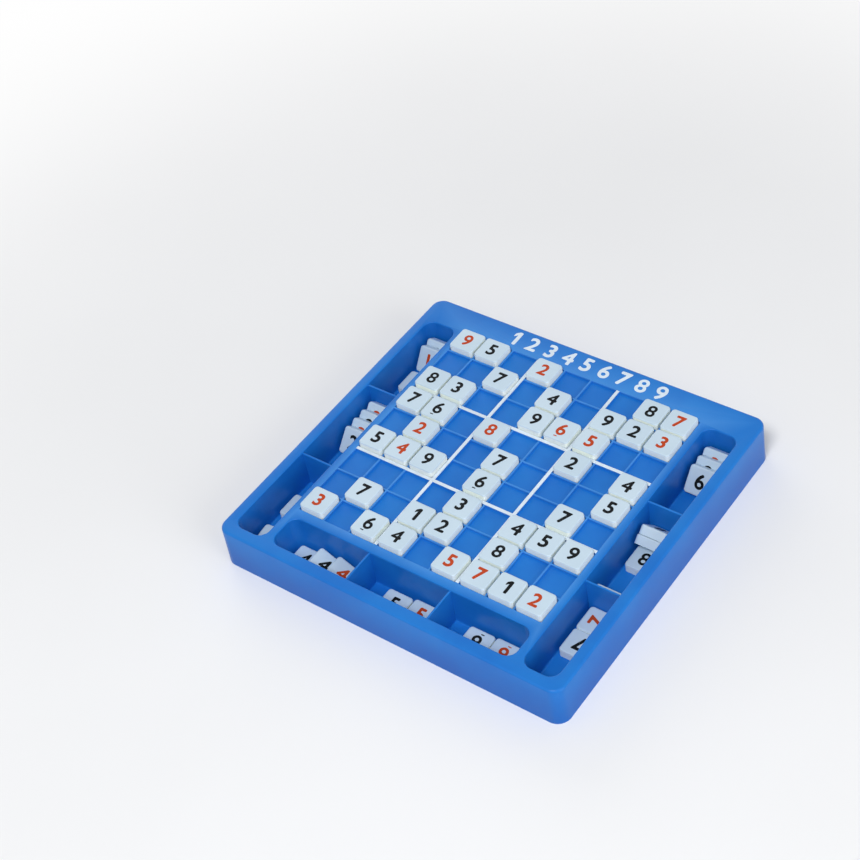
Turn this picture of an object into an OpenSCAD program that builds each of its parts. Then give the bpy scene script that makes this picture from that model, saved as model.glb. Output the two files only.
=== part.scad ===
// Number-placing puzzle board: a one-piece moulded platform with a 9 by 9 grid of recessed cells,
// three troughs split into nine compartments, and loose square number tiles.
// Millimetres. +Z is up, the platform stands on z = 0, the front is at -Y, the origin is under its middle.

/* [Grid] */
// Inside width of a cell
cell_w = 19; // [17:0.5:20]
// Depth of a cell below the tops of the ribs
cell_depth = 2; // [1:0.25:3]
// Thickness of the thin ribs between cells
rib_t = 1; // [0.8:0.1:2]
// Thickness of the ribs between the 3 by 3 boxes
box_rib_t = 2.2; // [1.6:0.1:3]

/* [Platform] */
// Height of the platform
board_h = 30; // [27:0.5:40]
// Plain strip behind the grid
rear_margin = 21.5; // [12:0.5:40]
// Land between the grid and a side trough
land_side = 5.3; // [4:0.1:10]
// Land between the grid and the front trough
land_front = 6.7; // [4:0.1:12]
// Rim outside a side trough
rim_side = 8.5; // [7:0.1:16]
// Rim in front of the front trough
rim_front = 9.2; // [7:0.1:16]
// Radius of the platform's four corners
corner_r = 9; // [6:0.5:14]
// Radius of the rounded top edge
edge_r = 1.8; // [1:0.1:2.5]
// Inward lean of the outer walls, in degrees
wall_draft = 1.5; // [0.5:0.25:2]
// Thickness of the outer walls and of the walls of the troughs
wall_t = 2; // [1.5:0.1:2.4]
// Thickness of the top plate
plate_t = 2; // [1.5:0.1:3]
// Thickness of the stiffening ribs under the grid
stiffener_t = 1.4; // [1:0.1:2]
// Height of the stiffening ribs under the grid
stiffener_h = 6; // [3:0.5:10]

/* [Troughs] */
// Width of a trough at its top
trough_w = 23.5; // [22.5:0.5:30]
// Corner radius at the ends of a trough
trough_r = 7; // [5:0.5:8]
// Lean of the walls of a trough, in degrees
trough_draft = 1; // [0.5:0.25:1.5]
// Land between the front trough and a side trough
trough_gap = 6; // [5:0.1:10]
// Distance from the rear edge to a side trough
trough_rear = 23; // [12:0.5:40]
// Thickness of the floor of a trough
floor_t = 2.2; // [1.5:0.1:4]
// Fillet between the floor and the walls of a trough
floor_fillet = 1.2; // [0.6:0.1:1.4]
// Rounding of the upper edge of a trough
lip_r = 0.8; // [0.4:0.1:1.2]
// Thickness of the dividers between compartments
divider_t = 1.4; // [1:0.1:2]

/* [Tiles] */
// Gap between a tile and the ribs round it
tile_gap = 0.3; // [0.2:0.05:0.6]
// Height of a tile above the ribs
tile_rise = 4.1; // [3:0.1:5]
// Corner radius of a tile
tile_r = 2.2; // [1.5:0.1:3]
// Radius of the rounded upper edge of a tile
tile_edge_r = 1.1; // [0.5:0.1:1.4]

/* [Spare tiles] */
// Gap between loose tiles, and between them and what they lie against
seat_gap = 0.2; // [0.1:0.05:0.4]
// Lean of the two ones at the rear of their compartment, in degrees
ones_lean = 55; // [45:1:70]
// Lean of the row of twos, in degrees
twos_lean = 48; // [42:1:65]
// Slope of the overlapping fours, in degrees
fours_slope = 26; // [24:1:40]
// Slope of the overlapping eights, in degrees
eights_slope = 48; // [36:1:55]
// How far the upper of the overlapping eights has slid down the lower one
eights_slip = 1.5; // [0:0.25:4]
// Lean of the eight that stands against the front divider, in degrees
eights_lean = 64; // [55:1:80]
// Lean of the row of nines, in degrees
nines_lean = 50; // [42:1:65]

/* [Hidden] */
// Cells along a side of the grid, and along a side of a box
cells = 9;
box_cells = 3;
// Compartments in a trough
bays = 3;
// One overrun serves every cut
overrun = 1;
$fn = 48;

// Filled cells, row by row from the rear
layout = [
    "95.2...87",
    "..7.4.923",
    "83..965..",
    "76.8..2.4",
    ".2..7...5",
    "549.6..7.",
    "....3.459",
    ".7.12.8..",
    "3.64.5712"
];
filled = [for (r = [1 : cells], c = [1 : cells]) if (layout[r - 1][c - 1] != ".") [r, c]];

// Sizes of the grid and of the whole platform
grid_w = cells * cell_w + (cells - bays) * rib_t + (bays - 1) * box_rib_t;
board_w = grid_w + 2 * (land_side + trough_w + rim_side);
board_d = rear_margin + grid_w + land_front + trough_w + rim_front;
grid_y = board_d / 2 - rear_margin - grid_w / 2;

// Troughs: their middles, lengths and depth
trough_depth = board_h - floor_t;
side_len = board_d - trough_rear - rim_front;
side_x = grid_w / 2 + land_side + trough_w / 2;
side_y = (rim_front - trough_rear) / 2;
front_len = grid_w + 2 * (land_side - trough_gap);
front_y = -board_d / 2 + rim_front + trough_w / 2;
side_bay = (side_len - (bays - 1) * divider_t) / bays;
front_bay = (front_len - (bays - 1) * divider_t) / bays;
divider_h = trough_depth - lip_r;
floor_inset = trough_depth * tan(trough_draft);

// Tiles
tile_w = cell_w - 2 * tile_gap;
tile_t = cell_depth + tile_rise;

// How far the round corner of a trough keeps a centred tile from the end of the trough
corner_reach = max(0, tile_w / 2 - trough_w / 2 + trough_r + floor_inset);
end_inset = floor_inset + trough_r - sqrt(trough_r * trough_r - corner_reach * corner_reach);

// Half of the level floor between the fillets of a trough, and a tile's play to either side on it
level_half = trough_w / 2 - floor_inset - floor_fillet;
side_play = max(0, level_half - tile_w / 2);

// How high the fillets carry a tile that reaches further out than the level floor
function fillet_rise(half) =
    let (reach = min(floor_fillet, max(0, half - level_half)))
    floor_fillet - sqrt(floor_fillet * floor_fillet - reach * reach);
floor_seat = fillet_rise(tile_w / 2);

// Half the room that a tile turned by an angle takes across a trough
function turned_half(angle) =
    (tile_w / 2) * (cos(angle) + sin(angle)) - tile_r * (cos(angle) + sin(angle) - 1);

// Loose tiles that lie flat: shares of a tile's width along the trough from the middle of the bay,
// shares of the side play across it, and how far each is turned, in degrees
threes_along_shares = [0.5, -1.05];
threes_across_shares = [0, 0];
threes_turns = [0, 6];
fives_along_shares = [-0.36, 0.68];
fives_across_shares = [0.8, -0.6];
fives_turns = [0, 0];
sixes_along_shares = [-0.38, 0.65];
sixes_across_shares = [-0.3, -0.9];
sixes_turns = [0, 0];

// Middle of cell i along the grid, counted from 1 at the low end
function cell_at(i) =
    (i - (cells + 1) / 2) * (cell_w + rib_t) + (floor((i - 1) / box_cells) - 1) * (box_rib_t - rib_t);

function tile_name(place) = str("tile_r", place[0], "c", place[1]);

// Middle of bay n of a trough, -1, 0 or 1, along its length
function bay_at(n, bay) = n * (bay + divider_t);

SPARES = [
    "spare_ones", "spare_twos", "spare_threes", "spare_fours", "spare_fives",
    "spare_sixes", "spare_sevens", "spare_eights", "spare_nines"
];

// A block with round corners: a profile swept round them. The profile is the child,
// drawn outwards from the axis of a corner.
module swept_block(w, d, r, h) {
    for (quarter = [0 : 3]) {
        across = quarter % 2 == 0 ? w : d;
        along = quarter % 2 == 0 ? d : w;
        rotate(90 * quarter)
            translate([across / 2 - r, along / 2 - r, 0]) {
                rotate_extrude(angle = 90) children();
                rotate([90, 0, 0]) linear_extrude(along - 2 * r) children();
            }
    }
    translate([r - w / 2, r - d / 2, 0]) cube([w - 2 * r, d - 2 * r, h]);
}

module round_rect(w, d, r) {
    square([w - 2 * r, d], center = true);
    square([w, d - 2 * r], center = true);
    for (x = [r - w / 2, w / 2 - r], y = [r - d / 2, d / 2 - r])
        translate([x, y]) circle(r);
}

// Wall of a block that leans in by draft degrees, with a rounded top edge
module rounded_wall(r, h, edge, draft) {
    middle = [r - (edge + (h - edge) * sin(draft)) / cos(draft), h - edge];
    touch = middle + edge * [cos(draft), sin(draft)];
    polygon([[0, 0], [r, 0], touch, middle, [middle[0], h], [0, h]]);
    translate(middle) circle(edge);
}

// Wall of a pocket that leans out by the trough's draft, with a floor fillet and a rounded lip
module pocket_wall() {
    foot = trough_r - floor_inset;
    fillet_at = [foot - floor_fillet * (1 - sin(trough_draft)) / cos(trough_draft), floor_fillet];
    fillet_touch = fillet_at + floor_fillet * [cos(trough_draft), -sin(trough_draft)];
    lip_y = trough_depth - lip_r;
    lip_at = [foot + (lip_r + lip_y * sin(trough_draft)) / cos(trough_draft), lip_y];
    lip_touch = lip_at - lip_r * [cos(trough_draft), -sin(trough_draft)];
    top = trough_depth + overrun;
    difference() {
        union() {
            polygon([
                [0, 0], [fillet_at[0], 0], fillet_at, fillet_touch, lip_touch,
                [lip_at[0], trough_depth], [lip_at[0], top], [0, top]
            ]);
            translate(fillet_at) circle(floor_fillet);
        }
        translate(lip_at) circle(lip_r);
    }
}

module pocket(w, d) {
    translate([0, 0, floor_t]) swept_block(w, d, trough_r, trough_depth + overrun) pocket_wall();
}

// Puts its child at the two side troughs
module at_sides() {
    for (side = [-1, 1]) translate([side * side_x, side_y, 0]) children();
}

// Puts its child, drawn along Y, at the front trough
module at_front() {
    translate([0, front_y, 0]) rotate(-90) children();
}

// The block that a trough leaves standing in the hollow underside
module trough_block(len) {
    translate([0, 0, -overrun])
        linear_extrude(board_h + overrun)
            round_rect(trough_w + 2 * wall_t, len + 2 * wall_t, trough_r + wall_t);
}

// The dividers of a trough stand from its floor to just below its lip, with rounded tops
module dividers(bay) {
    for (n = [-0.5, 0.5])
        translate([-trough_w / 2 - lip_r, bay_at(n, bay), floor_t / 2])
            rotate([90, 0, 90]) linear_extrude(trough_w + 2 * lip_r) {
                translate([-divider_t / 2, 0]) square([divider_t, floor_t / 2 + divider_h - divider_t / 2]);
                translate([0, floor_t / 2 + divider_h - divider_t / 2]) circle(divider_t / 2);
            }
}

// Stiffening ribs under the lines between the boxes
module stiffeners() {
    low = board_h - cell_depth - plate_t - stiffener_h;
    line_at = (cell_at(2 * box_cells) + cell_at(2 * box_cells + 1)) / 2;
    run = grid_w + 2 * plate_t;
    for (turn = [0, 90], side = [-1, 1])
        translate([0, grid_y, low]) rotate(turn)
            translate([-run / 2, side * line_at - stiffener_t / 2, 0])
                cube([run, stiffener_t, stiffener_h + plate_t]);
}

// The hollow underside, between the outer walls, the troughs and the lowered plate of the grid
module hollow() {
    skirt = wall_t + board_h * tan(wall_draft);
    plate_w = grid_w + 2 * plate_t;
    difference() {
        translate([0, 0, -overrun])
            linear_extrude(board_h - plate_t + overrun)
                round_rect(board_w - 2 * skirt, board_d - 2 * skirt, corner_r - wall_t);
        translate([-plate_w / 2, grid_y - plate_w / 2, board_h - cell_depth - plate_t])
            cube([plate_w, plate_w, cell_depth + plate_t]);
        at_sides() trough_block(side_len);
        at_front() trough_block(front_len);
        stiffeners();
    }
}

module platform() {
    color("royalblue") {
        difference() {
            swept_block(board_w, board_d, corner_r, board_h)
                rounded_wall(corner_r, board_h, edge_r, wall_draft);
            hollow();
            at_sides() pocket(trough_w, side_len);
            at_front() pocket(trough_w, front_len);
            translate([0, grid_y, board_h - cell_depth])
                linear_extrude(cell_depth + overrun)
                    for (r = [1 : cells], c = [1 : cells])
                        translate([cell_at(c), cell_at(r)]) square(cell_w, center = true);
        }
        at_sides() dividers(side_bay);
        at_front() dividers(front_bay);
    }
}

// One tile, lying face up on z = 0 round the origin
module tile() {
    color("whitesmoke")
        swept_block(tile_w, tile_w, tile_r, tile_t) rounded_wall(tile_r, tile_t, tile_edge_r, 0);
}

module grid_tile(place) {
    translate([cell_at(place[1]), grid_y - cell_at(place[0]), board_h - cell_depth]) tile();
}

// Floor of a compartment: bay -1, 0 or 1 of the left (-1) or right (1) trough, counted from the front
module in_side_bay(side, n) {
    translate([side * side_x, side_y + bay_at(n, side_bay), floor_t]) children();
}

// Floor of a compartment of the front trough, counted from the left, with Y turned along the trough
module in_front_bay(n) {
    translate([bay_at(n, front_bay), front_y, floor_t]) rotate(-90) children();
}

// A row of tiles that lean back on a wall at y = wall_y, each against the one behind
module leaning_row(count, lean, wall_y) {
    step = (tile_t + seat_gap) / sin(lean);
    for (i = [0 : count - 1])
        translate([0, wall_y - seat_gap - tile_w * cos(lean) - i * step, floor_seat + seat_gap])
            rotate([lean, 0, 0]) translate([0, tile_w / 2, 0]) tile();
}

// A tile flat on the floor, with its middle at y along the trough
module flat_tile(y, x = 0, turn = 0) {
    translate([x, y, fillet_rise(turned_half(turn))]) rotate(turn) tile();
}

// Tiles flat on the floor of a bay that runs along Y, placed by shares
module flat_tiles(along_shares, across_shares, turns) {
    for (i = [0 : len(turns) - 1])
        flat_tile(along_shares[i] * tile_w, across_shares[i] * side_play, turns[i]);
}

// Two ones lean on the rear wall and one lies in front of them
module spare_ones() {
    wall_y = side_bay / 2 - end_inset;
    row_front = wall_y - tile_w * cos(ones_lean) - (2 * tile_t + seat_gap) / sin(ones_lean) - 2 * seat_gap;
    in_side_bay(-1, 1) {
        leaning_row(2, ones_lean, wall_y);
        flat_tile(row_front - tile_w / 2);
    }
}

module spare_twos() {
    in_side_bay(-1, 0) leaning_row(4, twos_lean, side_bay / 2);
}

module spare_threes() {
    in_side_bay(-1, -1) flat_tiles(threes_along_shares, threes_across_shares, threes_turns);
}

// The first four lies at the left end, the next two overlap it like shingles
module spare_fours() {
    first_y = -front_bay / 2 + end_inset + floor_fillet + seat_gap + tile_w / 2;
    step = (tile_t + seat_gap) / sin(fours_slope);
    foot_y = first_y + tile_w / 2 + (tile_t + seat_gap) / tan(fours_slope) + seat_gap;
    in_front_bay(-1) {
        flat_tile(first_y);
        for (i = [0, 1])
            translate([0, foot_y + i * step, floor_seat + seat_gap])
                rotate([-fours_slope, 0, 0]) translate([0, -tile_w / 2, 0]) tile();
    }
}

module spare_fives() {
    in_front_bay(0) flat_tiles(fives_along_shares, fives_across_shares, fives_turns);
}

module spare_sixes() {
    in_front_bay(1) flat_tiles(sixes_along_shares, sixes_across_shares, sixes_turns);
}

module spare_sevens() {
    in_side_bay(1, -1) {
        flat_tile(side_bay / 2 - seat_gap - tile_w / 2);
        flat_tile(side_bay / 2 - 2 * seat_gap - tile_w - tile_w / 2);
    }
}

// One eight lies flat, two lean forward over its rear edge, one stands against the front divider
module spare_eights() {
    lift = tile_t + seat_gap;
    upper = [
        lift * sin(eights_slope) + eights_slip * cos(eights_slope),
        lift * cos(eights_slope) - eights_slip * sin(eights_slope)
    ];
    foot_y = side_bay / 2 - seat_gap - tile_t * sin(eights_slope) - upper[0];
    flat_rear = foot_y - lift / tan(eights_slope) - seat_gap;
    in_side_bay(1, 0) {
        flat_tile(flat_rear - tile_w / 2);
        for (i = [0, 1])
            translate([0, foot_y + i * upper[0], floor_seat + seat_gap + i * upper[1]])
                rotate([-eights_slope, 0, 0]) translate([0, -tile_w / 2, 0]) tile();
        rotate(180) leaning_row(1, eights_lean, side_bay / 2);
    }
}

module spare_nines() {
    in_side_bay(1, 1) leaning_row(3, nines_lean, side_bay / 2 - end_inset);
}

platform();
for (place = filled) grid_tile(place);
spare_ones();
spare_twos();
spare_threes();
spare_fours();
spare_fives();
spare_sixes();
spare_sevens();
spare_eights();
spare_nines();
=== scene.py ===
"""Finishes a moulded sudoku board: blue platform, white number tiles, printing and a plain stage."""

import math
from itertools import product
from typing import NamedTuple

import bmesh
import bpy
from bpy.props import FloatProperty, FloatVectorProperty, IntProperty, PointerProperty
from mathutils import Matrix, Vector
from mathutils.geometry import intersect_line_line_2d


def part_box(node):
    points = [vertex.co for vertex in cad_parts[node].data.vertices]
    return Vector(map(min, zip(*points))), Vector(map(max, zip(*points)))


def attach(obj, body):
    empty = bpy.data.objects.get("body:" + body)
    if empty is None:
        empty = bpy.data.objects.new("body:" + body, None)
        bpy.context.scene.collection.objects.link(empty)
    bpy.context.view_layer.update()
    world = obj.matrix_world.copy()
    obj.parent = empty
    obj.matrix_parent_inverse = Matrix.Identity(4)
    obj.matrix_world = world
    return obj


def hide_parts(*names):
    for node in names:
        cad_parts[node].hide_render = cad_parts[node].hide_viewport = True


bl_info = {
    "name": "Sudoku board finish",
    "version": (1, 0, 0),
    "blender": (4, 5, 0),
    "location": "View3D > Sidebar > Sudoku",
    "description": "Plastic, printing and stage for a moulded sudoku board with loose number tiles",
    "category": "Object",
}

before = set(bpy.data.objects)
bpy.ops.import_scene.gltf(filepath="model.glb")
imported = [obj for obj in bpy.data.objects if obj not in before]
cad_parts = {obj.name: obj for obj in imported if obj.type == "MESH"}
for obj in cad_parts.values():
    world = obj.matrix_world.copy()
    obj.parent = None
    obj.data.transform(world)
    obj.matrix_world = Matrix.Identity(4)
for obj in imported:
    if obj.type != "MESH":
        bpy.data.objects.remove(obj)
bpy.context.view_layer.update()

REAR = Vector((0, 1, 0))
FIGURES = "123456789"
BLACK = "black"
RED = "red"

# Numbers on the grid from the rear row to the front, dots for empty cells, capitals A to I for red 1 to 9
GRID = (
    "I5.B...8G",
    "..7.4.92C",
    "83..9FE..",
    "76.H..2.4",
    ".B..7...5",
    "5D9.6..7.",
    "....3.459",
    ".7.12.8..",
    "C.64.EG1B",
)
RED_FOR = "ABCDEFGHI"

# Loose tiles of each compartment, front to rear or left to right: number, ink, quarter turns to the left
LOOSE = {
    "spare_ones": (("1", BLACK, 0), ("1", RED, 2), ("1", BLACK, 0)),
    "spare_twos": (("2", BLACK, 0), ("2", RED, 0), ("2", BLACK, 0), ("2", RED, 0)),
    "spare_threes": (("3", BLACK, 0), ("3", RED, 0)),
    "spare_fours": (("4", BLACK, 0), ("4", BLACK, 0), ("4", RED, 0)),
    "spare_fives": (("5", BLACK, 0), ("5", RED, 0)),
    "spare_sixes": (("6", BLACK, 2), ("6", RED, 2)),
    "spare_sevens": (("7", BLACK, 2), ("7", RED, 1)),
    "spare_eights": (("8", BLACK, 0), ("8", BLACK, 0), ("8", RED, 0), ("8", BLACK, 0)),
    "spare_nines": (("9", BLACK, 2), ("9", BLACK, 0), ("9", RED, 0)),
}
FRONT_BAYS = ("spare_fours", "spare_fives", "spare_sixes")

# Meshes: lengths in metres, angles, shares of another length or area, and steps of rounded edges
MERGE = 0.000002
FLAT_ANGLE = math.radians(1)
MOULDING_FLAT_ANGLE = math.radians(0.5)
SMOOTH_ANGLE = math.radians(35)
SHARP_ANGLE = math.radians(60)
SKIRT_DEPTH = 0.004
TOP_TOLERANCE = 0.08
LINE_ROUND = 0.4
RIB_STEPS = 3
LINE_STEPS = 2

# Figures, at a type size of one metre, with turns that are rounded and shares of a stroke or rounding
TYPE_MERGE = 0.0005
TYPE_STEPS = 5
ROUND_FROM = math.radians(40)
ROUND_TO = math.radians(125)
ROUND_ROOM = 1.1
ROUND_STEPS = 4
MITRE_LEAST = 0.5
EYE_SHARE = 0.5
ONE_STROKE = 0.11
ONE_HEIGHT = 0.69
FLAG_STROKES = 1.1
FLAG_REACH = (-0.14, -0.115, 0)
DASH_MIDDLE = (0.12, -0.13, 0)
DASH_SIZE = (0.18, 0.055, 1)
DASH_ROUND = 0.02
DASH_STEPS = 3
DASH_BELOW = -0.05

# A printed film reaches into its surface by its height above it, divided by this
SUNK_PART = 3

# Marks and grain of the plastics, inks and floor
GRAIN_GROUP = "Moulded grain"
FLOW_SCALE = 30.0
FLOW_DETAIL = 3
FLOW_ROUGHNESS = 0.5
FLOW_SHARE = 0.4
GRAIN_SCALE = 1500.0
GRAIN_DETAIL = 2
GRAIN_ROUGHNESS = 0.6
GRAIN_DEPTH = 0.0001
TONE_RANGE = (0.3, 0.7)
HALF = 0.5

# Painted highlight and shade on the platform, the shade by height in metres, and painted light on the tiles
# by how far a face looks upward
# Painted highlight: a paler blue on the rounded rib edges
EDGE_HIGHLIGHT_MASK = "polished_edge"
EDGE_HIGHLIGHT_SHARE = 0.35
# Painted shade: a deeper blue towards the foot of the outer walls
SKIRT_MASK = "skirt"
SKIRT_SHADE_RANGE = (0.029, 0.002)
SKIRT_SHADE_SHARE = 0.6
# Painted light: paler, greener tile sides where a face looks sideways
SIDE_LIGHT_RANGE = (0.45, 0.1)

# Deepest tones of the inks and the floor, as shares of their colours
THICK_INK = 0.93
FLOOR_SHADE = 0.97

# Colour sockets of a mix node, which share their names with its sockets for numbers
MIX_FIRST = 6
MIX_SECOND = 7
MIX_RESULT = 2

# Stage: ways from the board to the lamps, lengths in metres, and the sensor in millimetres
KEY_WAY = (0.15, -0.5, 0.85)
KEY_DISTANCE = 2.4
KEY_SIZE = 0.8
FILL_WAY = (0.9, -0.15, 0.38)
BACK_WAY = (-0.78, 0.52, 0.35)
FILL_DISTANCE = 2.6
FILL_SIZE = 1.8
FADE_RANGE = (0.2, 0.85)
SENSOR_WIDTH = 36
WHITE = (1, 1, 1, 1)


class Finish(NamedTuple):
    """How a surface takes light: least and most roughness, strength and scales of its marks, and shine."""

    roughness: tuple
    bump: float
    flow: float = FLOW_SCALE
    grain: float = GRAIN_SCALE
    shine: float = 0.5


PLATFORM_FINISH = Finish(roughness=(0.28, 0.42), bump=0.1, shine=0.22)
TILE_FINISH = Finish(roughness=(0.3, 0.45), bump=0.1, flow=25.0)
INK_FINISH = Finish(roughness=(0.45, 0.6), bump=0.02, flow=150.0, grain=3000.0, shine=0.1)
FLOOR_FINISH = Finish(roughness=(0.8, 0.9), bump=0.02, flow=3.0, grain=400.0)


def srgb(red, green, blue):
    """Scene colour of a colour picked on a screen, each channel from 0 to 255."""
    return tuple(
        part / 12.92 if part <= 0.04045 else ((part + 0.055) / 1.055) ** 2.4
        for part in (red / 255, green / 255, blue / 255)
    )


def length(name, description, default):
    """A setting in metres."""
    return FloatProperty(
        name=name, description=description, default=default, min=0, unit="LENGTH", precision=5
    )


def share(name, description, default, most):
    """A setting from zero to a most."""
    return FloatProperty(name=name, description=description, default=default, min=0, max=most)


def angle(name, description, degrees):
    """A setting that is an angle, given in degrees."""
    return FloatProperty(
        name=name, description=description, default=math.radians(degrees), subtype="ANGLE"
    )


def power(name, description, watts):
    """A setting for a lamp."""
    return FloatProperty(name=name, description=description, default=watts, min=0, unit="POWER")


def colour(name, description, default):
    """A setting that is a scene colour."""
    return FloatVectorProperty(
        name=name, description=description, default=default, size=3, min=0, max=1, subtype="COLOR"
    )


class BoardSizes(bpy.types.PropertyGroup):
    """Sizes of the printing and of the softened edges."""

    rib_round: length("Rib rounding", "Rounding along the top edges of the grid's ribs", 0.00028)
    line_width: length("Line width", "Width of the white lines between the boxes", 0.00224)
    line_reach: length("Line length", "Length of the white lines", 0.1812)
    line_gap: length("Line spacing", "Distance of the white lines from the middle of the grid", 0.0306)
    line_wrap: length("Line wrap", "How far the white paint wraps down over a rib's edges", 0.0002)
    film: length("Film thickness", "How far the printing stands above what it is printed on", 0.00006)
    digit_height: length("Digit height", "Height of the number on a tile", 0.0099)
    numeral_height: length("Numeral height", "Height of the numerals on the rear margin", 0.0122)
    numeral_span: length("Numeral span", "From the first to the last numeral on the rear margin", 0.112)
    stroke_gain: share("Stroke gain", "Weight added to strokes, in type sizes", 0.029, 0.035)
    stroke_round: share("Stroke rounding", "Rounding of strokes' ends, in type sizes", 0.06, 0.07)


class BoardColours(bpy.types.PropertyGroup):
    """Colours of the plastics and inks, and of the painted highlight on the rib edges, the painted shade
    low on the outer walls and the painted light on the tiles' sides.
    """

    platform: colour("Platform", "Blue of the moulded platform", srgb(28, 118, 203))
    platform_deep: colour("Platform, deep", "Blue where the moulding's tone is deepest", srgb(22, 108, 196))
    # Painted shade at the foot of the outer walls
    platform_low_shade: colour("Platform, low", "Painted shade at the foot of the outer walls", srgb(20, 85, 174))
    # Painted highlight along the grid's rounded rib edges
    edge: colour("Polished edge", "Paler blue along the grid's edges", srgb(98, 168, 234))
    tile: colour("Tile", "White of the number tiles", srgb(196, 216, 231))
    tile_deep: colour("Tile, deep", "White where a tile's tone is deepest", srgb(189, 210, 226))
    # Painted light on the tiles' sides
    tile_side: colour("Tile sides", "White of the tiles' sides", srgb(240, 247, 240))
    white: colour("White ink", "Lines and numerals on the platform", srgb(220, 233, 245))
    black: colour("Black ink", "Plain numbers", srgb(10, 15, 18))
    red: colour("Red ink", "Marked numbers", srgb(188, 70, 34))
    floor: colour("Floor", "Ground under the board", srgb(240, 241, 243))


class StageSettings(bpy.types.PropertyGroup):
    """Camera and light."""

    azimuth: angle("Azimuth", "Camera's turn round the board, from the front to the right", 44)
    elevation: angle("Elevation", "Camera's angle above the floor", 45)
    roll: angle("Roll", "Camera's turn about its own axis", -11.453)
    distance: length("Distance", "From the camera to its target", 1.2)
    target: FloatVectorProperty(
        name="Target", description="Point on the floor at the middle of the picture",
        default=(-0.07829, 0.03466, 0), subtype="TRANSLATION", unit="LENGTH",
    )
    lens: FloatProperty(
        name="Lens", description="Focal length on a 36 mm sensor", default=75.51, min=10, unit="CAMERA"
    )
    sky: FloatProperty(
        name="Sky", description="Strength of the even light from all round", default=0.45, min=0
    )
    key: power("Key light", "Power of the light above the front", 31)
    fill: power("Fill light", "Power of the right light", 24)
    back: power("Back light", "Power of the rear left light", 14)
    floor_half: IntProperty(name="Floor", description="Half the floor's width in metres", default=6, min=1)


def deselect():
    """Leaves object mode with nothing selected."""
    if bpy.context.object and bpy.context.object.mode != "OBJECT":
        bpy.ops.object.mode_set(mode="OBJECT")
    bpy.ops.object.select_all(action="DESELECT")


def pick(piece):
    """Makes a piece the only selected one and the active one."""
    deselect()
    piece.select_set(True)
    bpy.context.view_layer.objects.active = piece


def edit(piece):
    """Opens a piece in edit mode with all of it selected."""
    pick(piece)
    bpy.ops.object.mode_set(mode="EDIT")
    bpy.ops.mesh.select_all(action="SELECT")


def select_where(piece, kind, test):
    """Selects, in edit mode, the vertices, edges or faces that pass a test, and nothing else."""
    bpy.ops.mesh.select_all(action="DESELECT")
    bpy.ops.mesh.select_mode(type={"verts": "VERT", "edges": "EDGE", "faces": "FACE"}[kind])
    mesh = bmesh.from_edit_mesh(piece.data)
    for part in getattr(mesh, kind):
        part.select_set(test(part))
    mesh.select_flush_mode()
    bmesh.update_edit_mesh(piece.data)


def apply_modifier(piece, kind, **values):
    """Adds a modifier with the given values and applies it."""
    pick(piece)
    bpy.ops.object.modifier_add(type=kind)
    modifier = piece.modifiers[-1]
    for name, value in values.items():
        setattr(modifier, name, value)
    bpy.ops.object.modifier_apply(modifier=modifier.name)


def settle(piece, place):
    """Puts a piece in its place and moves that place into its mesh."""
    pick(piece)
    piece.matrix_world = place
    bpy.ops.object.transform_apply(location=True, rotation=True, scale=True)


def copy_piece(piece, name):
    """A copy with its own mesh."""
    pick(piece)
    bpy.ops.object.duplicate()
    copy = bpy.context.object
    copy.name = name
    copy.data.name = name
    return copy


def paint(piece, material):
    """Gives a piece one material."""
    piece.data.materials.clear()
    piece.data.materials.append(material)


def write_mask(piece, name, shares):
    """Keeps a number for each vertex of a piece, which its material reads."""
    mask = piece.data.attributes.new(name, "FLOAT", "POINT")
    mask.data.foreach_set("value", shares)


def node_of(tree, kind, place, **values):
    """A shader node at a place on the node sheet, with its own properties set."""
    node = tree.nodes.new(kind)
    node.location = place
    for name, value in values.items():
        setattr(node, name, value)
    return node


def calculated(tree, place, operation, *sources):
    """Result of an operation on sockets and plain numbers, as a socket."""
    node = node_of(tree, "ShaderNodeMath", place, operation=operation)
    for socket, source in zip(node.inputs, sources):
        if isinstance(source, bpy.types.NodeSocket):
            tree.links.new(source, socket)
        else:
            socket.default_value = source
    return node.outputs["Value"]


def mapped(tree, place, value, source, result=(0, 1), kind="LINEAR"):
    """A value taken from one range to another, as a socket."""
    node = node_of(tree, "ShaderNodeMapRange", place, interpolation_type=kind)
    for label, limit in zip(("From Min", "From Max", "To Min", "To Max"), (*source, *result)):
        node.inputs[label].default_value = limit
    tree.links.new(value, node.inputs["Value"])
    return node.outputs["Result"]


def noise(tree, place, coordinates, scale, detail, roughness):
    """Soft noise over an object's own coordinates, as a socket."""
    node = node_of(tree, "ShaderNodeTexNoise", place)
    node.inputs["Detail"].default_value = detail
    node.inputs["Roughness"].default_value = roughness
    tree.links.new(coordinates.outputs["Object"], node.inputs["Vector"])
    tree.links.new(scale, node.inputs["Scale"])
    return node.outputs["Fac"]


def upward_part(tree, place, kind):
    """Z of one kind of texture coordinates, as a socket."""
    coordinates = node_of(tree, "ShaderNodeTexCoord", place)
    parts = node_of(tree, "ShaderNodeSeparateXYZ", (place[0] + 200, place[1]))
    tree.links.new(coordinates.outputs[kind], parts.inputs["Vector"])
    return parts.outputs["Z"]


def attribute(tree, place, name):
    """Number that a piece keeps for each vertex, as a socket."""
    return node_of(tree, "ShaderNodeAttribute", place, attribute_name=name).outputs["Fac"]


def mixed_shaders(tree, place, *sources):
    """One shader passing into another, from the sockets of the share and of both, as a socket."""
    mix = node_of(tree, "ShaderNodeMixShader", place)
    for socket, source in zip(mix.inputs, sources):
        tree.links.new(source, socket)
    return mix.outputs["Shader"]


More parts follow.
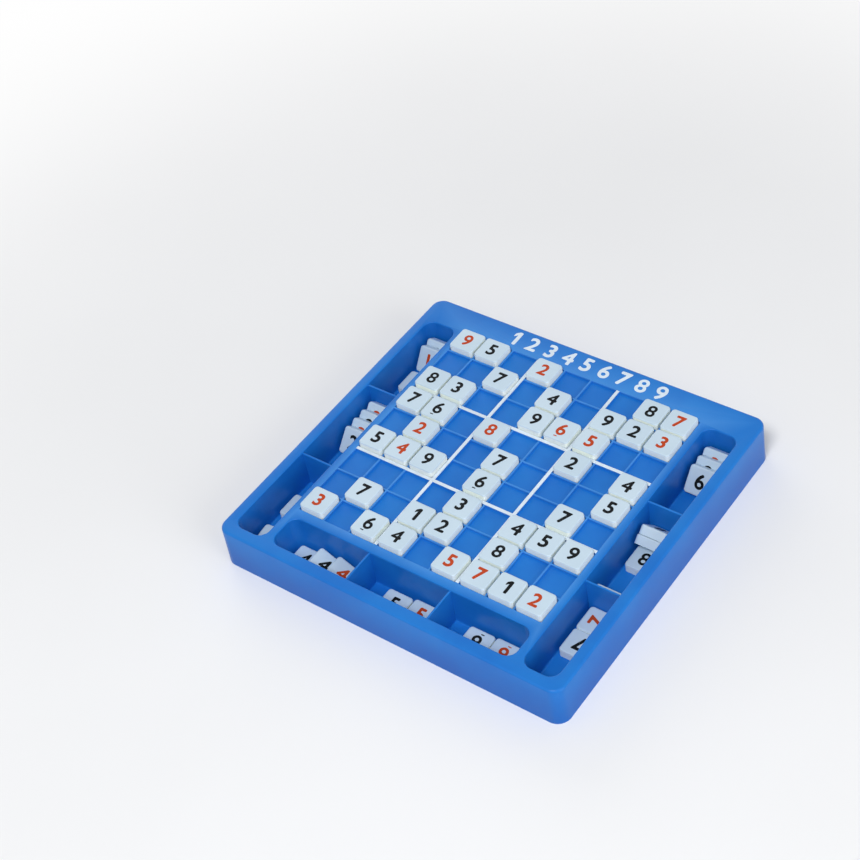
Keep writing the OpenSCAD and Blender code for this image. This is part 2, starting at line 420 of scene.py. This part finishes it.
def grain_group():
    """Tone, gloss and height of moulded plastic, shared by the plastics, the inks and the floor."""
    if GRAIN_GROUP in bpy.data.node_groups:
        return bpy.data.node_groups[GRAIN_GROUP]
    group = bpy.data.node_groups.new(GRAIN_GROUP, "ShaderNodeTree")
    defaults = {"Flow Scale": FLOW_SCALE, "Grain Scale": GRAIN_SCALE, "Flow Share": FLOW_SHARE}
    for label, default in defaults.items():
        socket = group.interface.new_socket(label, in_out="INPUT", socket_type="NodeSocketFloat")
        socket.default_value = default
    for label in ("Tone", "Gloss", "Height"):
        group.interface.new_socket(label, in_out="OUTPUT", socket_type="NodeSocketFloat")
    given = node_of(group, "NodeGroupInput", (-900, 0)).outputs
    place = node_of(group, "ShaderNodeTexCoord", (-900, 300))
    flow = noise(group, (-600, 200), place, given["Flow Scale"], FLOW_DETAIL, FLOW_ROUGHNESS)
    grain = noise(group, (-600, -150), place, given["Grain Scale"], GRAIN_DETAIL, GRAIN_ROUGHNESS)
    tone = mapped(group, (-300, 250), flow, TONE_RANGE, kind="SMOOTHSTEP")
    half_flow = calculated(group, (-450, 60), "MULTIPLY", flow, HALF)
    gloss = calculated(group, (-300, 0), "MULTIPLY_ADD", grain, HALF, half_flow)
    height = node_of(group, "ShaderNodeMix", (-100, -200), data_type="FLOAT")
    for label, source in {"Factor": given["Flow Share"], "A": grain, "B": flow}.items():
        group.links.new(source, height.inputs[label])
    outputs = node_of(group, "NodeGroupOutput", (500, 0))
    for label, source in {"Tone": tone, "Gloss": gloss, "Height": height.outputs["Result"]}.items():
        group.links.new(source, outputs.inputs[label])
    return group


def moulded(name, pale, deep, finish):
    """A plastic, ink or floor with flow marks in its tone and a fine grain in its surface."""
    if name in bpy.data.materials:
        return bpy.data.materials[name]
    material = bpy.data.materials.new(name)
    material.use_nodes = True
    material.diffuse_color = (*pale, 1)
    tree = material.node_tree
    tree.nodes.clear()
    output = node_of(tree, "ShaderNodeOutputMaterial", (700, 0))
    shader = node_of(tree, "ShaderNodeBsdfPrincipled", (400, 0))
    shader.inputs["Specular IOR Level"].default_value = finish.shine
    tree.links.new(shader.outputs["BSDF"], output.inputs["Surface"])
    marks = node_of(tree, "ShaderNodeGroup", (-500, 0), node_tree=grain_group())
    marks.inputs["Flow Scale"].default_value = finish.flow
    marks.inputs["Grain Scale"].default_value = finish.grain
    tone = node_of(tree, "ShaderNodeMix", (-200, 250), data_type="RGBA")
    tone.inputs[MIX_FIRST].default_value = (*deep, 1)
    tone.inputs[MIX_SECOND].default_value = (*pale, 1)
    tree.links.new(marks.outputs["Tone"], tone.inputs["Factor"])
    tree.links.new(tone.outputs[MIX_RESULT], shader.inputs["Base Color"])
    rough = mapped(tree, (-200, 0), marks.outputs["Gloss"], (0, 1), finish.roughness)
    tree.links.new(rough, shader.inputs["Roughness"])
    relief = node_of(tree, "ShaderNodeBump", (-200, -250))
    relief.inputs["Strength"].default_value = finish.bump
    relief.inputs["Distance"].default_value = GRAIN_DEPTH
    tree.links.new(marks.outputs["Height"], relief.inputs["Height"])
    tree.links.new(relief.outputs["Normal"], shader.inputs["Normal"])
    return material


def tint(tree, place, pigment, amount):
    """Lays a plain colour over a material's own, by an amount that is a socket."""
    base = tree.nodes["Principled BSDF"].inputs["Base Color"]
    mix = node_of(tree, "ShaderNodeMix", place, data_type="RGBA")
    mix.inputs[MIX_SECOND].default_value = (*pigment, 1)
    tree.links.new(amount, mix.inputs["Factor"])
    tree.links.new(base.links[0].from_socket, mix.inputs[MIX_FIRST])
    tree.links.new(mix.outputs[MIX_RESULT], base)


def platform_plastic(colours):
    """Blue plastic, paler along the rounded edges of the grid as a painted highlight, and deeper low on the
    outer walls as painted shade.
    """
    material = moulded("blue_moulding", colours.platform, colours.platform_deep, PLATFORM_FINISH)
    tree = material.node_tree
    # Painted shade, deeper towards the foot of the outer walls
    height = upward_part(tree, (-900, 750), "Object")
    low = mapped(tree, (-500, 750), height, SKIRT_SHADE_RANGE, (0, SKIRT_SHADE_SHARE), "SMOOTHSTEP")
    skirt = calculated(tree, (-250, 800), "MULTIPLY", low, attribute(tree, (-500, 1000), SKIRT_MASK))
    tint(tree, (-50, 500), colours.platform_low_shade, skirt)
    # Painted highlight on the rounded rib edges
    edge = calculated(tree, (-200, 500), "MULTIPLY", attribute(tree, (-500, 500), EDGE_HIGHLIGHT_MASK), EDGE_HIGHLIGHT_SHARE)
    tint(tree, (150, 350), colours.edge, edge)
    return material


def tile_plastic(colours):
    """White plastic, paler and a little greener on the sides of the tiles as painted light."""
    material = moulded("white_moulding", colours.tile, colours.tile_deep, TILE_FINISH)
    tree = material.node_tree
    # Painted light: the sides, where a face looks sideways, are paler and greener
    rise = upward_part(tree, (-900, 600), "Normal")
    side = mapped(tree, (-500, 600), rise, SIDE_LIGHT_RANGE, kind="SMOOTHSTEP")
    tint(tree, (100, 400), colours.tile_side, side)
    return material


def ink(name, pigment):
    """Printing ink, a little darker where it lies thick."""
    return moulded(name, pigment, tuple(THICK_INK * part for part in pigment), INK_FINISH)


def printing_inks(colours):
    """The inks of the tiles, plain and marked."""
    return {BLACK: ink("black_ink", colours.black), RED: ink("red_ink", colours.red)}


def stroke_corner(vertex, rounding):
    """Whether an outline turns sharply at a vertex, with room on both sides for the rounding."""
    first, second = (edge.other_vert(vertex).co - vertex.co for edge in vertex.link_edges)
    room = min(first.length, second.length)
    return room > ROUND_ROOM * rounding and ROUND_FROM < math.pi - first.angle(second) < ROUND_TO


def outline_loops(mesh):
    """The closed outlines of a wire mesh, each as its vertices in order."""
    waiting = dict.fromkeys(mesh.verts)
    loops = []
    while waiting:
        loop = [next(iter(waiting))]
        del waiting[loop[0]]
        step = loop[0].link_edges[0].other_vert(loop[0])
        while step != loop[0]:
            del waiting[step]
            onward = [edge.other_vert(step) for edge in step.link_edges]
            onward.remove(loop[-1])
            loop.append(step)
            step = onward[0]
        loops.append(loop)
    return loops


def loop_area(points):
    """Area inside an outline, negative where it runs clockwise."""
    return sum(a.x * b.y - b.x * a.y for a, b in zip(points, points[1:] + points[:1])) / 2


def shifted(points, shift):
    """An outline moved to its right by a shift, with short mitres at its corners."""
    moved = []
    for before, point, after in zip(points[-1:] + points[:-1], points, points[1:] + points[:1]):
        ways = [(point - before).normalized(), (after - point).normalized()]
        first, second = (Vector((way.y, -way.x)) for way in ways)
        moved.append(point + shift * (first + second) / max(1 + first.dot(second), MITRE_LEAST))
    return moved


def without_crossings(points):
    """An outline without the small loops it makes where it crosses itself."""
    count = len(points)
    for first in range(count - 2):
        # The first stretch and the last share a point, which is no crossing
        for second in range(first + 2, count - (first == 0)):
            ends = points[first], points[first + 1], points[second], points[(second + 1) % count]
            meeting = intersect_line_line_2d(*ends)
            if meeting:
                halves = points[first + 1 : second + 1], points[second + 1 :] + points[: first + 1]
                larger = max(halves, key=lambda half: abs(loop_area(half)))
                return without_crossings(larger + [meeting])
    return points


def widen_strokes(piece, gain):
    """Moves a figure's outline outwards and the outlines of its eyes, half as far, inwards."""
    mesh = bmesh.from_edit_mesh(piece.data)
    loops = [[vertex.co.xy for vertex in loop] for loop in outline_loops(mesh)]
    loops.sort(key=lambda loop: -abs(loop_area(loop)))
    mesh.clear()
    for count, loop in enumerate(loops):
        shift = math.copysign(gain, loop_area(loop)) * (-EYE_SHARE if count else 1)
        vertices = [mesh.verts.new((*point, 0)) for point in without_crossings(shifted(loop, shift))]
        for ends in zip(vertices, vertices[1:] + vertices[:1]):
            mesh.edges.new(ends)
    bmesh.update_edit_mesh(piece.data)


def figure_one():
    """Outline of a one with a flag."""
    bpy.ops.mesh.primitive_plane_add(size=1, location=(0, ONE_HEIGHT / 2, 0))
    piece = bpy.context.object
    piece.scale = (ONE_STROKE, ONE_HEIGHT, 1)
    bpy.ops.object.transform_apply(location=True, rotation=False, scale=True)
    edit(piece)
    root = ONE_HEIGHT - FLAG_STROKES * ONE_STROKE
    bpy.ops.mesh.bisect(plane_co=(0, root, 0), plane_no=(0, 1, 0))
    select_where(
        piece, "edges", lambda edge: all(v.co.x < 0 and v.co.y > root - TYPE_MERGE for v in edge.verts)
    )
    bpy.ops.mesh.extrude_region_move(TRANSFORM_OT_translate={"value": FLAG_REACH})
    bpy.ops.mesh.select_all(action="SELECT")
    bpy.ops.mesh.dissolve_limited(angle_limit=FLAT_ANGLE)
    bpy.ops.mesh.select_all(action="SELECT")
    bpy.ops.mesh.delete(type="ONLY_FACE")
    bpy.ops.object.mode_set(mode="OBJECT")
    return piece


def type_figure(figure):
    """Outline of a figure from the built-in type, with a turned nine as the six."""
    bpy.ops.object.text_add(location=(0, 0, 0))
    piece = bpy.context.object
    piece.data.body = "9" if figure == "6" else figure
    piece.data.size = 1
    piece.data.resolution_u = TYPE_STEPS
    piece.data.fill_mode = "NONE"
    bpy.ops.object.convert(target="MESH")
    piece = bpy.context.object
    if figure == "6":
        right = max(vertex.co.x for vertex in piece.data.vertices)
        top = max(vertex.co.y for vertex in piece.data.vertices)
        settle(piece, Matrix.Translation((right, top, 0)) @ Matrix.Rotation(math.pi, 4, "Z"))
    return piece


def add_orientation_dash():
    """The short bar under a six that tells it from a nine."""
    bpy.ops.mesh.select_all(action="DESELECT")
    bpy.ops.mesh.primitive_plane_add(size=1, location=DASH_MIDDLE)
    bpy.ops.transform.resize(value=DASH_SIZE, center_override=DASH_MIDDLE)
    bpy.ops.mesh.bevel(affect="VERTICES", offset=DASH_ROUND, segments=DASH_STEPS)


def fill_outline(piece, sizes, dash):
    """Makes a figure's outline heavier, rounds the ends of its strokes and fills it."""
    edit(piece)
    bpy.ops.mesh.remove_doubles(threshold=TYPE_MERGE)
    widen_strokes(piece, sizes.stroke_gain)
    rounding = sizes.stroke_round
    select_where(piece, "verts", lambda vertex: stroke_corner(vertex, rounding))
    bpy.ops.mesh.bevel(
        affect="VERTICES", offset=rounding, offset_type="OFFSET", segments=ROUND_STEPS, clamp_overlap=True
    )
    bpy.ops.mesh.select_all(action="SELECT")
    bpy.ops.mesh.remove_doubles(threshold=TYPE_MERGE)
    bpy.ops.mesh.fill(use_beauty=True)
    if dash:
        add_orientation_dash()
    bpy.ops.mesh.select_all(action="SELECT")
    bpy.ops.mesh.normals_make_consistent(inside=False)
    bpy.ops.object.mode_set(mode="OBJECT")


def centre_figure(piece, height):
    """Brings a figure to its height, which the dash under a six doesn't count in, and to the origin."""
    spots = [vertex.co for vertex in piece.data.vertices]
    low = Vector(map(min, zip(*(spot for spot in spots if spot.y > DASH_BELOW))))
    high = Vector(map(max, zip(*spots)))
    scale = height / (high.y - low.y)
    settle(piece, Matrix.Scale(scale, 4) @ Matrix.Translation(-(low + high) / 2))


def thicken_figure(piece, film):
    """Makes a flat figure a film that lies in part below the surface it is printed on."""
    sunk = film / SUNK_PART
    apply_modifier(piece, "SOLIDIFY", thickness=film + sunk, offset=1)
    edit(piece)
    bpy.ops.mesh.normals_make_consistent(inside=False)
    bpy.ops.transform.translate(value=(0, 0, -sunk - min(v.co.z for v in piece.data.vertices)))
    bpy.ops.object.mode_set(mode="OBJECT")


def figure_piece(figure, height, sizes, dashed):
    """A printed figure with rounded strokes, its middle at the origin and the printed surface at zero."""
    deselect()
    piece = figure_one() if figure == "1" else type_figure(figure)
    piece.name = "figure_" + figure
    fill_outline(piece, sizes, dashed and figure == "6")
    centre_figure(piece, height)
    thicken_figure(piece, sizes.film)
    return piece


def figure_set(height, sizes, dashed):
    """One piece for each figure, to copy from, with or without the dash under the six."""
    return {figure: figure_piece(figure, height, sizes, dashed) for figure in FIGURES}


def remove(pieces):
    """Deletes the patterns that were copied from."""
    for piece in pieces:
        pick(piece)
        bpy.ops.object.delete()


def print_figure(pattern, name, place, material, body):
    """Copies a figure to a place and lets it ride on a body."""
    piece = copy_piece(pattern, name)
    settle(piece, place)
    paint(piece, material)
    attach(piece, body)


def top_area():
    """Area of the flat top of a tile that lies in a cell."""
    name = next(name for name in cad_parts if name.startswith("tile_"))
    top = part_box(name)[1].z
    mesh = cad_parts[name].data
    return sum(
        face.area for face in mesh.polygons
        if all(abs(mesh.vertices[v].co.z - top) < MERGE for v in face.vertices)
    )


def tile_tops(node):
    """Middle, normal and straight edge of each tile's flat top in a node, known by its area."""
    mesh = bmesh.new()
    mesh.from_mesh(node.data)
    bmesh.ops.remove_doubles(mesh, verts=mesh.verts, dist=MERGE)
    bmesh.ops.dissolve_limit(mesh, angle_limit=FLAT_ANGLE, verts=mesh.verts, edges=mesh.edges)
    wanted = top_area()
    tops = []
    for face in mesh.faces:
        if abs(face.calc_area() - wanted) < TOP_TOLERANCE * wanted:
            side = max(face.edges, key=lambda edge: edge.calc_length())
            along = (side.verts[1].co - side.verts[0].co).normalized()
            tops.append((face.calc_center_bounds(), face.normal.copy(), along))
    mesh.free()
    return tops


def on_top(middle, normal, along, quarters):
    """Place of a figure on a tile's top, upright towards the rear but for its quarter turns to the left."""
    across = normal.cross(along)
    up = max((along, -along, across, -across), key=lambda way: way.dot(REAR))
    for _ in range(quarters):
        up = normal.cross(up)
    right = up.cross(normal)
    turn = Matrix((right, up, normal)).transposed().to_4x4()
    return Matrix.Translation(middle) @ turn


def grid_middle():
    """Middle of the grid at the platform's top, from the tiles in its corners."""
    corners = [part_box(name) for name in ("tile_r1c1", "tile_r9c9")]
    spot = sum((first + last for first, last in corners), Vector((0, 0, 0))) / 4
    spot.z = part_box("platform")[1].z
    return spot


class SUDOKU_OT_platform(bpy.types.Operator):
    """Rounds the grid's rib edges on a copy of the platform and gives it its blue plastic"""

    bl_idname = "sudoku.platform"
    bl_label = "Platform"

    def execute(self, context):
        sizes = context.scene.sudoku_sizes
        low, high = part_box("platform")
        piece = copy_piece(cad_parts["platform"], "platform_moulding")
        edit(piece)
        bpy.ops.mesh.remove_doubles(threshold=MERGE)
        bpy.ops.mesh.dissolve_limited(angle_limit=MOULDING_FLAT_ANGLE)
        select_where(piece, "edges", lambda edge: self.rib_edge(edge, high.z))
        bpy.ops.mesh.bevel(
            offset=sizes.rib_round, segments=RIB_STEPS, affect="EDGES", clamp_overlap=False
        )
        rounded = {v.index for v in bmesh.from_edit_mesh(piece.data).verts if v.select}
        bpy.ops.object.mode_set(mode="OBJECT")
        if not rounded:
            raise RuntimeError("no rib edge was found on the platform")
        vertices = piece.data.vertices
        # Masks for the painted highlight on the rounded rib edges and the painted shade on the outer walls
        write_mask(piece, EDGE_HIGHLIGHT_MASK, [float(v.index in rounded) for v in vertices])
        write_mask(piece, SKIRT_MASK, [self.skirt_share(v.co, low, high) for v in vertices])
        bpy.ops.object.shade_smooth_by_angle(angle=SMOOTH_ANGLE)
        paint(piece, platform_plastic(context.scene.sudoku_colours))
        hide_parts("platform")
        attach(piece, "platform")
        return {"FINISHED"}

    @staticmethod
    def rib_edge(edge, top):
        """Whether an edge is a sharp one at the top of the platform."""
        if len(edge.link_faces) != 2 or any(abs(v.co.z - top) > MERGE for v in edge.verts):
            return False
        return edge.calc_face_angle() > SHARP_ANGLE and edge.is_convex

    @staticmethod
    def skirt_share(spot, low, high):
        """One for a point on the outer walls, zero for any other."""
        inward = min(spot.x - low.x, high.x - spot.x, spot.y - low.y, high.y - spot.y)
        return float(inward < SKIRT_DEPTH)


class SUDOKU_OT_box_lines(bpy.types.Operator):
    """Paints the wide ribs between the boxes of the grid white"""

    bl_idname = "sudoku.box_lines"
    bl_label = "Box lines"

    def execute(self, context):
        sizes = context.scene.sudoku_sizes
        middle = grid_middle()
        deselect()
        level = middle.z - sizes.line_wrap
        bpy.ops.mesh.primitive_plane_add(size=sizes.line_reach, location=(middle.x, middle.y, level))
        piece = context.object
        piece.name = "box_lines"
        bpy.ops.object.transform_apply(location=True, rotation=False, scale=False)
        self.cut_lines(piece, middle, sizes)
        apply_modifier(piece, "SOLIDIFY", thickness=sizes.line_wrap + sizes.film, offset=1)
        apply_modifier(
            piece, "BEVEL", width=LINE_ROUND * sizes.line_wrap, segments=LINE_STEPS,
            limit_method="ANGLE", angle_limit=SHARP_ANGLE,
        )
        pick(piece)
        bpy.ops.object.shade_smooth_by_angle(angle=SMOOTH_ANGLE)
        paint(piece, ink("white_ink", context.scene.sudoku_colours.white))
        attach(piece, "platform")
        return {"FINISHED"}

    @staticmethod
    def cut_lines(piece, middle, sizes):
        """Leaves of a square sheet only the four lines that cross on it."""
        half = sizes.line_width / 2
        edit(piece)
        for axis, side, edge in product((0, 1), (-1, 1), (-half, half)):
            spot = middle.copy()
            spot[axis] += side * sizes.line_gap + edge
            across = Vector((0, 0, 0))
            across[axis] = 1
            bpy.ops.mesh.select_all(action="SELECT")
            bpy.ops.mesh.bisect(plane_co=spot, plane_no=across)

        def between_lines(face):
            away = face.calc_center_median() - middle
            return all(abs(abs(away[axis]) - sizes.line_gap) > half for axis in (0, 1))

        select_where(piece, "faces", between_lines)
        bpy.ops.mesh.delete(type="FACE")
        bpy.ops.mesh.select_all(action="SELECT")
        bpy.ops.mesh.dissolve_limited(angle_limit=FLAT_ANGLE)
        bpy.ops.object.mode_set(mode="OBJECT")


class SUDOKU_OT_margin_numerals(bpy.types.Operator):
    """Prints a row of plain white numerals on the rear margin"""

    bl_idname = "sudoku.margin_numerals"
    bl_label = "Margin numerals"

    def execute(self, context):
        sizes = context.scene.sudoku_sizes
        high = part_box("platform")[1]
        middle = grid_middle()
        margin = (middle.y + sizes.line_reach / 2 + high.y) / 2
        patterns = figure_set(sizes.numeral_height, sizes, dashed=False)
        white = ink("white_ink", context.scene.sudoku_colours.white)
        step = sizes.numeral_span / (len(FIGURES) - 1)
        for place, figure in enumerate(FIGURES):
            spot = Vector((middle.x - sizes.numeral_span / 2 + place * step, margin, high.z))
            print_figure(patterns[figure], "numeral_" + figure, Matrix.Translation(spot), white, "platform")
        remove(patterns.values())
        return {"FINISHED"}


class SUDOKU_OT_tiles(bpy.types.Operator):
    """Gives the number tiles their white plastic"""

    bl_idname = "sudoku.tiles"
    bl_label = "Number tiles"

    def execute(self, context):
        plastic = tile_plastic(context.scene.sudoku_colours)
        for name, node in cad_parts.items():
            if name != "platform":
                paint(node, plastic)
        return {"FINISHED"}


class SUDOKU_OT_grid_numbers(bpy.types.Operator):
    """Prints the numbers on the tiles of the grid"""

    bl_idname = "sudoku.grid_numbers"
    bl_label = "Numbers on the grid"

    def execute(self, context):
        sizes = context.scene.sudoku_sizes
        inks = printing_inks(context.scene.sudoku_colours)
        patterns = figure_set(sizes.digit_height, sizes, dashed=True)
        for row, marks in enumerate(GRID, 1):
            for column, mark in enumerate(marks, 1):
                if mark == ".":
                    continue
                name = f"r{row}c{column}"
                low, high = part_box("tile_" + name)
                place = Matrix.Translation(((low.x + high.x) / 2, (low.y + high.y) / 2, high.z))
                red = mark in RED_FOR
                figure = str(RED_FOR.index(mark) + 1) if red else mark
                pigment = inks[RED if red else BLACK]
                print_figure(patterns[figure], "number_" + name, place, pigment, "tile_" + name)
        remove(patterns.values())
        return {"FINISHED"}


class SUDOKU_OT_loose_numbers(bpy.types.Operator):
    """Prints the numbers on the loose tiles in the compartments"""

    bl_idname = "sudoku.loose_numbers"
    bl_label = "Numbers on the loose tiles"

    def execute(self, context):
        sizes = context.scene.sudoku_sizes
        inks = printing_inks(context.scene.sudoku_colours)
        patterns = figure_set(sizes.digit_height, sizes, dashed=True)
        for name, marks in LOOSE.items():
            axis = 0 if name in FRONT_BAYS else 1
            tops = sorted(tile_tops(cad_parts[name]), key=lambda top: top[0][axis])
            if len(tops) != len(marks):
                raise RuntimeError(f"{name} has {len(tops)} tile tops, not {len(marks)}")
            for count, (top, (figure, pigment, quarters)) in enumerate(zip(tops, marks), 1):
                place = on_top(*top, quarters)
                print_figure(patterns[figure], f"number_{name}_{count}", place, inks[pigment], name)
        remove(patterns.values())
        return {"FINISHED"}


def seen_rays(tree, place):
    """Socket that is one for what the camera, a reflection or a clear piece sees, and zero for light."""
    rays = node_of(tree, "ShaderNodeLightPath", place).outputs
    spots = [(place[0] + shift, place[1]) for shift in (200, 400)]
    shown = calculated(tree, spots[0], "MAXIMUM", rays["Is Camera Ray"], rays["Is Glossy Ray"])
    return calculated(tree, spots[1], "MAXIMUM", shown, rays["Is Transmission Ray"])


def fade_to_white(tree):
    """Lets the floor pass into the white around it, away from the board."""
    place = node_of(tree, "ShaderNodeTexCoord", (-500, 900))
    reach = node_of(tree, "ShaderNodeVectorMath", (-300, 900), operation="LENGTH")
    tree.links.new(place.outputs["Object"], reach.inputs[0])
    fade = mapped(tree, (-100, 900), reach.outputs["Value"], FADE_RANGE, kind="SMOOTHERSTEP")
    amount = calculated(tree, (200, 700), "MULTIPLY", fade, seen_rays(tree, (-500, 600)))
    white = node_of(tree, "ShaderNodeEmission", (400, 300))
    white.inputs["Color"].default_value = WHITE
    paper = tree.nodes["Principled BSDF"].outputs["BSDF"]
    faded = mixed_shaders(tree, (600, 200), amount, paper, white.outputs["Emission"])
    tree.links.new(faded, tree.nodes["Material Output"].inputs["Surface"])


class SUDOKU_OT_stage(bpy.types.Operator):
    """Sets a pale floor, soft light and the camera"""

    bl_idname = "sudoku.stage"
    bl_label = "Stage"

    def execute(self, context):
        stage = context.scene.sudoku_stage
        self.make_floor(context, stage)
        self.make_sky(context, stage)
        self.make_lamp("key_light", KEY_WAY, KEY_DISTANCE, KEY_SIZE, stage.key)
        self.make_lamp("fill_light", FILL_WAY, FILL_DISTANCE, FILL_SIZE, stage.fill)
        self.make_lamp("back_light", BACK_WAY, FILL_DISTANCE, FILL_SIZE, stage.back)
        self.make_camera(context, stage)
        context.scene.view_settings.view_transform = "Standard"
        return {"FINISHED"}

    @staticmethod
    def make_floor(context, stage):
        """A wide pale floor."""
        deselect()
        bpy.ops.mesh.primitive_plane_add(size=2 * stage.floor_half)
        floor = context.object
        floor.name = "floor"
        tone = context.scene.sudoku_colours.floor
        paper = moulded("floor_paper", tone, tuple(FLOOR_SHADE * part for part in tone), FLOOR_FINISH)
        fade_to_white(paper.node_tree)
        paint(floor, paper)

    @staticmethod
    def make_sky(context, stage):
        """Even light from all round, which is seen as white."""
        world = bpy.data.worlds.new("studio")
        context.scene.world = world
        world.use_nodes = True
        tree = world.node_tree
        tree.nodes.clear()
        output = node_of(tree, "ShaderNodeOutputWorld", (600, 0))
        light = node_of(tree, "ShaderNodeBackground", (100, 100))
        light.inputs["Strength"].default_value = stage.sky
        seen = node_of(tree, "ShaderNodeBackground", (100, -100))
        seen.inputs["Color"].default_value = WHITE
        both = (light.outputs["Background"], seen.outputs["Background"])
        sky = mixed_shaders(tree, (350, 0), seen_rays(tree, (-500, 300)), *both)
        tree.links.new(sky, output.inputs["Surface"])

    @staticmethod
    def make_lamp(name, way, distance, size, watts):
        """A round lamp that looks at the board."""
        deselect()
        way = Vector(way).normalized()
        bpy.ops.object.light_add(type="AREA", location=distance * way)
        lamp = bpy.context.object
        lamp.name = name
        lamp.rotation_euler = way.to_track_quat("Z", "Y").to_euler()
        lamp.data.shape = "DISK"
        lamp.data.size = size
        lamp.data.energy = watts

    @staticmethod
    def make_camera(context, stage):
        """A camera turned about its target and about its own axis."""
        deselect()
        around, above, roll = stage.azimuth, stage.elevation, stage.roll
        level = math.cos(above)
        back = Vector((level * math.sin(around), -level * math.cos(around), math.sin(above)))
        right = Vector((math.cos(around), math.sin(around), 0))
        upward = back.cross(right)
        turn = Matrix((
            math.cos(roll) * right + math.sin(roll) * upward,
            math.cos(roll) * upward - math.sin(roll) * right,
            back,
        )).transposed().to_4x4()
        bpy.ops.object.camera_add()
        camera = context.object
        camera.name = "camera"
        camera.matrix_world = Matrix.Translation(Vector(stage.target) + stage.distance * back) @ turn
        camera.data.sensor_width = SENSOR_WIDTH
        camera.data.lens = stage.lens
        context.scene.camera = camera


OPERATORS = (
    SUDOKU_OT_platform,
    SUDOKU_OT_box_lines,
    SUDOKU_OT_margin_numerals,
    SUDOKU_OT_tiles,
    SUDOKU_OT_grid_numbers,
    SUDOKU_OT_loose_numbers,
    SUDOKU_OT_stage,
)
GROUPS = {"sudoku_sizes": BoardSizes, "sudoku_colours": BoardColours, "sudoku_stage": StageSettings}


class SUDOKU_PT_finish(bpy.types.Panel):
    """Lists the finishing steps and their settings"""

    bl_label = "Sudoku board"
    bl_idname = "SUDOKU_PT_finish"
    bl_space_type = "VIEW_3D"
    bl_region_type = "UI"
    bl_category = "Sudoku"

    def draw(self, context):
        for operator in OPERATORS:
            self.layout.operator(operator.bl_idname)
        for group in GROUPS:
            settings = getattr(context.scene, group)
            box = self.layout.box()
            for name in settings.bl_rna.properties.keys():
                if name not in ("rna_type", "name"):
                    box.prop(settings, name)


def register():
    for group, kind in GROUPS.items():
        bpy.utils.register_class(kind)
        setattr(bpy.types.Scene, group, PointerProperty(type=kind))
    for kind in (*OPERATORS, SUDOKU_PT_finish):
        bpy.utils.register_class(kind)


def unregister():
    for kind in (SUDOKU_PT_finish, *reversed(OPERATORS)):
        bpy.utils.unregister_class(kind)
    for group, kind in reversed(GROUPS.items()):
        delattr(bpy.types.Scene, group)
        bpy.utils.unregister_class(kind)


def main():
    register()
    bpy.ops.sudoku.platform()
    bpy.ops.sudoku.box_lines()
    bpy.ops.sudoku.margin_numerals()
    bpy.ops.sudoku.tiles()
    bpy.ops.sudoku.grid_numbers()
    bpy.ops.sudoku.loose_numbers()
    bpy.ops.sudoku.stage()


if __name__ == "__main__":
    main()
